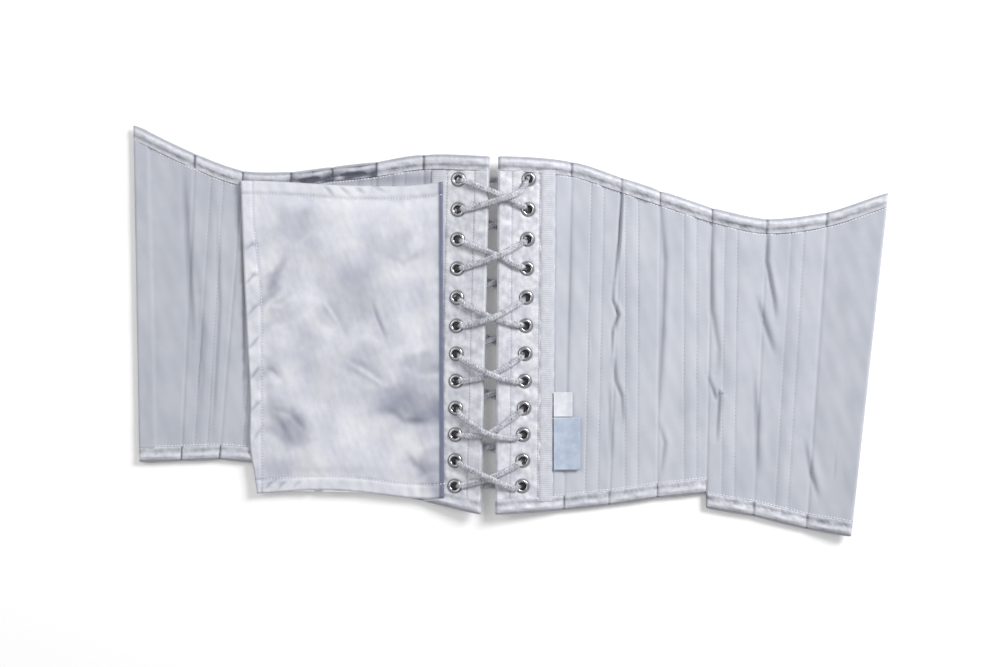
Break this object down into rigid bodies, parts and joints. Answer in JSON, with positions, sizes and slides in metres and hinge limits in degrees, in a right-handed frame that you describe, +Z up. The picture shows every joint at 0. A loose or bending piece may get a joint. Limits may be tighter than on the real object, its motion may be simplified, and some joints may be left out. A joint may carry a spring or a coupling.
{
  "type": "lumbar support belt",
  "caption": "Laced, steel boned lumbar support belt in panels, opened at the front and laid flat with its lining side up.",
  "frame": {"origin": "centre of the overall box in X and Y, on the surface that the belt lies on", "axes": "+X across the opened belt, from the half with the loops to the half with the pegs; +Y towards the belt's upper edge; +Z up out of the lining"},
  "size_m": [0.5874, 0.3206, 0.0203],
  "materials": {
    "satin_shell": "polyester satin, cool white, turned hems",
    "coutil_lining": "fine cotton twill, pale cool grey",
    "satin_facing": "satin facing with ribbed tape",
    "flap_satin": "crumpled pearl satin",
    "flap_core": "thin flexible sheet",
    "bone_steel": "galvanised spring steel",
    "eyelet_nickel": "nickel plated brass",
    "busk_steel": "plated steel",
    "lace_cord": "braided polyester cord",
    "label_white": "woven label, plain",
    "label_blue": "woven label, plain"
  },
  "bodies": {
    "left_panel_1": {"shell_left_1": "satin_shell", "lining_left_1": "coutil_lining", "flat_bones_left_1": "bone_steel", "eyelets_left": "eyelet_nickel", "back_facing_left": "satin_facing", "lace": "lace_cord"},
    "left_panel_2": {"shell_left_2": "satin_shell", "lining_left_2": "coutil_lining", "spiral_bone_left_2": "bone_steel"},
    "left_panel_3": {"shell_left_3": "satin_shell", "lining_left_3": "coutil_lining", "spiral_bone_left_3": "bone_steel"},
    "left_panel_4": {"shell_left_4": "satin_shell", "lining_left_4": "coutil_lining", "spiral_bone_left_4": "bone_steel"},
    "left_panel_5": {"shell_left_5": "satin_shell", "lining_left_5": "coutil_lining", "spiral_bone_left_5": "bone_steel"},
    "left_panel_6": {"shell_left_6": "satin_shell", "lining_left_6": "coutil_lining", "spiral_bone_left_6": "bone_steel"},
    "left_panel_7": {"shell_left_7": "satin_shell", "lining_left_7": "coutil_lining", "busk_loop_bar": "busk_steel", "busk_placket": "coutil_lining"},
    "right_panel_1": {"shell_right_1": "satin_shell", "lining_right_1": "coutil_lining", "flat_bones_right_1": "bone_steel", "eyelets_right": "eyelet_nickel", "back_facing_right": "satin_facing", "size_label": "label_white", "care_label": "label_blue"},
    "right_panel_2": {"shell_right_2": "satin_shell", "lining_right_2": "coutil_lining", "spiral_bone_right_2": "bone_steel"},
    "right_panel_3": {"shell_right_3": "satin_shell", "lining_right_3": "coutil_lining", "spiral_bone_right_3": "bone_steel"},
    "right_panel_4": {"shell_right_4": "satin_shell", "lining_right_4": "coutil_lining", "spiral_bone_right_4": "bone_steel"},
    "right_panel_5": {"shell_right_5": "satin_shell", "lining_right_5": "coutil_lining", "spiral_bone_right_5": "bone_steel"},
    "right_panel_6": {"shell_right_6": "satin_shell", "lining_right_6": "coutil_lining", "spiral_bone_right_6": "bone_steel"},
    "right_panel_7": {"shell_right_7": "satin_shell", "lining_right_7": "coutil_lining", "busk_peg_bar": "busk_steel"},
    "flap_leaf_1": {"flap_cover_1": "flap_satin"},
    "flap_leaf_2": {"flap_cover_2": "flap_satin", "flap_stiffener_2": "flap_core"},
    "flap_leaf_3": {"flap_cover_3": "flap_satin", "flap_stiffener_3": "flap_core"},
    "flap_leaf_4": {"flap_cover_4": "flap_satin", "flap_stiffener_4": "flap_core"},
    "flap_leaf_5": {"flap_cover_5": "flap_satin", "flap_stiffener_5": "flap_core"}
  },
  "joints": [
    {"name": "wrap", "type": "hinge", "parent": "left_panel_1", "child": "left_panel_2", "pos_m": [-0.06905, 0.00235, 0.0046], "axis": [0.0115, 0.9999, 0], "range_deg": [0, 29.5]},
    {"name": "left_seam_2_bend", "type": "hinge", "parent": "left_panel_2", "child": "left_panel_3", "pos_m": [-0.10765, 0.00425, 0.0046], "axis": [0.0279, 0.9996, 0], "range_deg": [0, 29.5]},
    {"name": "left_seam_3_bend", "type": "hinge", "parent": "left_panel_3", "child": "left_panel_4", "pos_m": [-0.14355, 0.0066, 0.0046], "axis": [0.0417, 0.9991, 0], "range_deg": [0, 29.5]},
    {"name": "left_seam_4_bend", "type": "hinge", "parent": "left_panel_4", "child": "left_panel_5", "pos_m": [-0.1782, 0.00975, 0.0046], "axis": [0.0684, 0.9977, 0], "range_deg": [0, 29.5]},
    {"name": "left_seam_5_bend", "type": "hinge", "parent": "left_panel_5", "child": "left_panel_6", "pos_m": [-0.21725, 0.0119, 0.0046], "axis": [0.0828, 0.9966, 0], "range_deg": [0, 29.5]},
    {"name": "left_seam_6_bend", "type": "hinge", "parent": "left_panel_6", "child": "left_panel_7", "pos_m": [-0.25075, 0.01795, 0.0046], "axis": [0.0455, 0.999, 0], "range_deg": [0, 29.5]},
    {"name": "right_seam_1_bend", "type": "hinge", "parent": "right_panel_1", "child": "right_panel_2", "pos_m": [0.04485, -0.0043, 0.0046], "axis": [-0.0232, -0.9997, 0], "range_deg": [0, 29.5], "deforming": ["size_label", "care_label"]},
    {"name": "right_seam_2_bend", "type": "hinge", "parent": "right_panel_2", "child": "right_panel_3", "pos_m": [0.0819, -0.00855, 0.0046], "axis": [-0.04, -0.9992, 0], "range_deg": [0, 29.5]},
    {"name": "right_seam_3_bend", "type": "hinge", "parent": "right_panel_3", "child": "right_panel_4", "pos_m": [0.11545, -0.01095, 0.0046], "axis": [-0.0096, -1, 0], "range_deg": [0, 29.5]},
    {"name": "right_seam_4_bend", "type": "hinge", "parent": "right_panel_4", "child": "right_panel_5", "pos_m": [0.15485, -0.0156, 0.0046], "axis": [-0.0211, -0.9998, 0], "range_deg": [0, 29.5]},
    {"name": "right_seam_5_bend", "type": "hinge", "parent": "right_panel_5", "child": "right_panel_6", "pos_m": [0.19465, -0.02885, 0.0046], "axis": [-0.047, -0.9989, 0], "range_deg": [0, 29.5]},
    {"name": "right_seam_6_bend", "type": "hinge", "parent": "right_panel_6", "child": "right_panel_7", "pos_m": [0.2387, -0.0312, 0.0046], "axis": [-0.0662, -0.9978, 0], "range_deg": [0, 29.5]},
    {"name": "lacing", "type": "slide", "parent": "left_panel_1", "child": "right_panel_1", "axis": [1, 0, 0], "range_m": [-0.004, 0.05], "deforming": ["lace"]},
    {"name": "flap_turn", "type": "hinge", "parent": "left_panel_1", "child": "flap_leaf_1", "pos_m": [-0.0511, -0.0078, 0.0132], "axis": [0.0131, -0.9999, 0], "range_deg": [-180, 0], "deforming": ["flap_cover_1", "flap_cover_2", "flap_cover_3", "flap_cover_4", "flap_cover_5", "flap_stiffener_2", "flap_stiffener_3", "flap_stiffener_4", "flap_stiffener_5"]},
    {"name": "flap_bend_1", "type": "hinge", "parent": "flap_leaf_1", "child": "flap_leaf_2", "pos_m": [-0.06905, 0.00235, 0.0046], "axis": [0.0115, 0.9999, 0], "range_deg": [0, 29.5]},
    {"name": "flap_bend_2", "type": "hinge", "parent": "flap_leaf_2", "child": "flap_leaf_3", "pos_m": [-0.10765, 0.00425, 0.0046], "axis": [0.0279, 0.9996, 0], "range_deg": [0, 29.5]},
    {"name": "flap_bend_3", "type": "hinge", "parent": "flap_leaf_3", "child": "flap_leaf_4", "pos_m": [-0.14355, 0.0066, 0.0046], "axis": [0.0417, 0.9991, 0], "range_deg": [0, 29.5]},
    {"name": "flap_bend_4", "type": "hinge", "parent": "flap_leaf_4", "child": "flap_leaf_5", "pos_m": [-0.1782, 0.00975, 0.0046], "axis": [0.0684, 0.9977, 0], "range_deg": [0, 29.5]}
  ],
  "couplings": [
    {"joint": "left_seam_2_bend", "follows": "wrap", "ratio": 1},
    {"joint": "left_seam_3_bend", "follows": "wrap", "ratio": 1},
    {"joint": "left_seam_4_bend", "follows": "wrap", "ratio": 1},
    {"joint": "left_seam_5_bend", "follows": "wrap", "ratio": 1},
    {"joint": "left_seam_6_bend", "follows": "wrap", "ratio": 1},
    {"joint": "right_seam_1_bend", "follows": "wrap", "ratio": 1},
    {"joint": "right_seam_2_bend", "follows": "wrap", "ratio": 1},
    {"joint": "right_seam_3_bend", "follows": "wrap", "ratio": 1},
    {"joint": "right_seam_4_bend", "follows": "wrap", "ratio": 1},
    {"joint": "right_seam_5_bend", "follows": "wrap", "ratio": 1},
    {"joint": "right_seam_6_bend", "follows": "wrap", "ratio": 1},
    {"joint": "flap_bend_1", "follows": "wrap", "ratio": 1},
    {"joint": "flap_bend_2", "follows": "wrap", "ratio": 1},
    {"joint": "flap_bend_3", "follows": "wrap", "ratio": 1},
    {"joint": "flap_bend_4", "follows": "wrap", "ratio": 1}
  ]
}
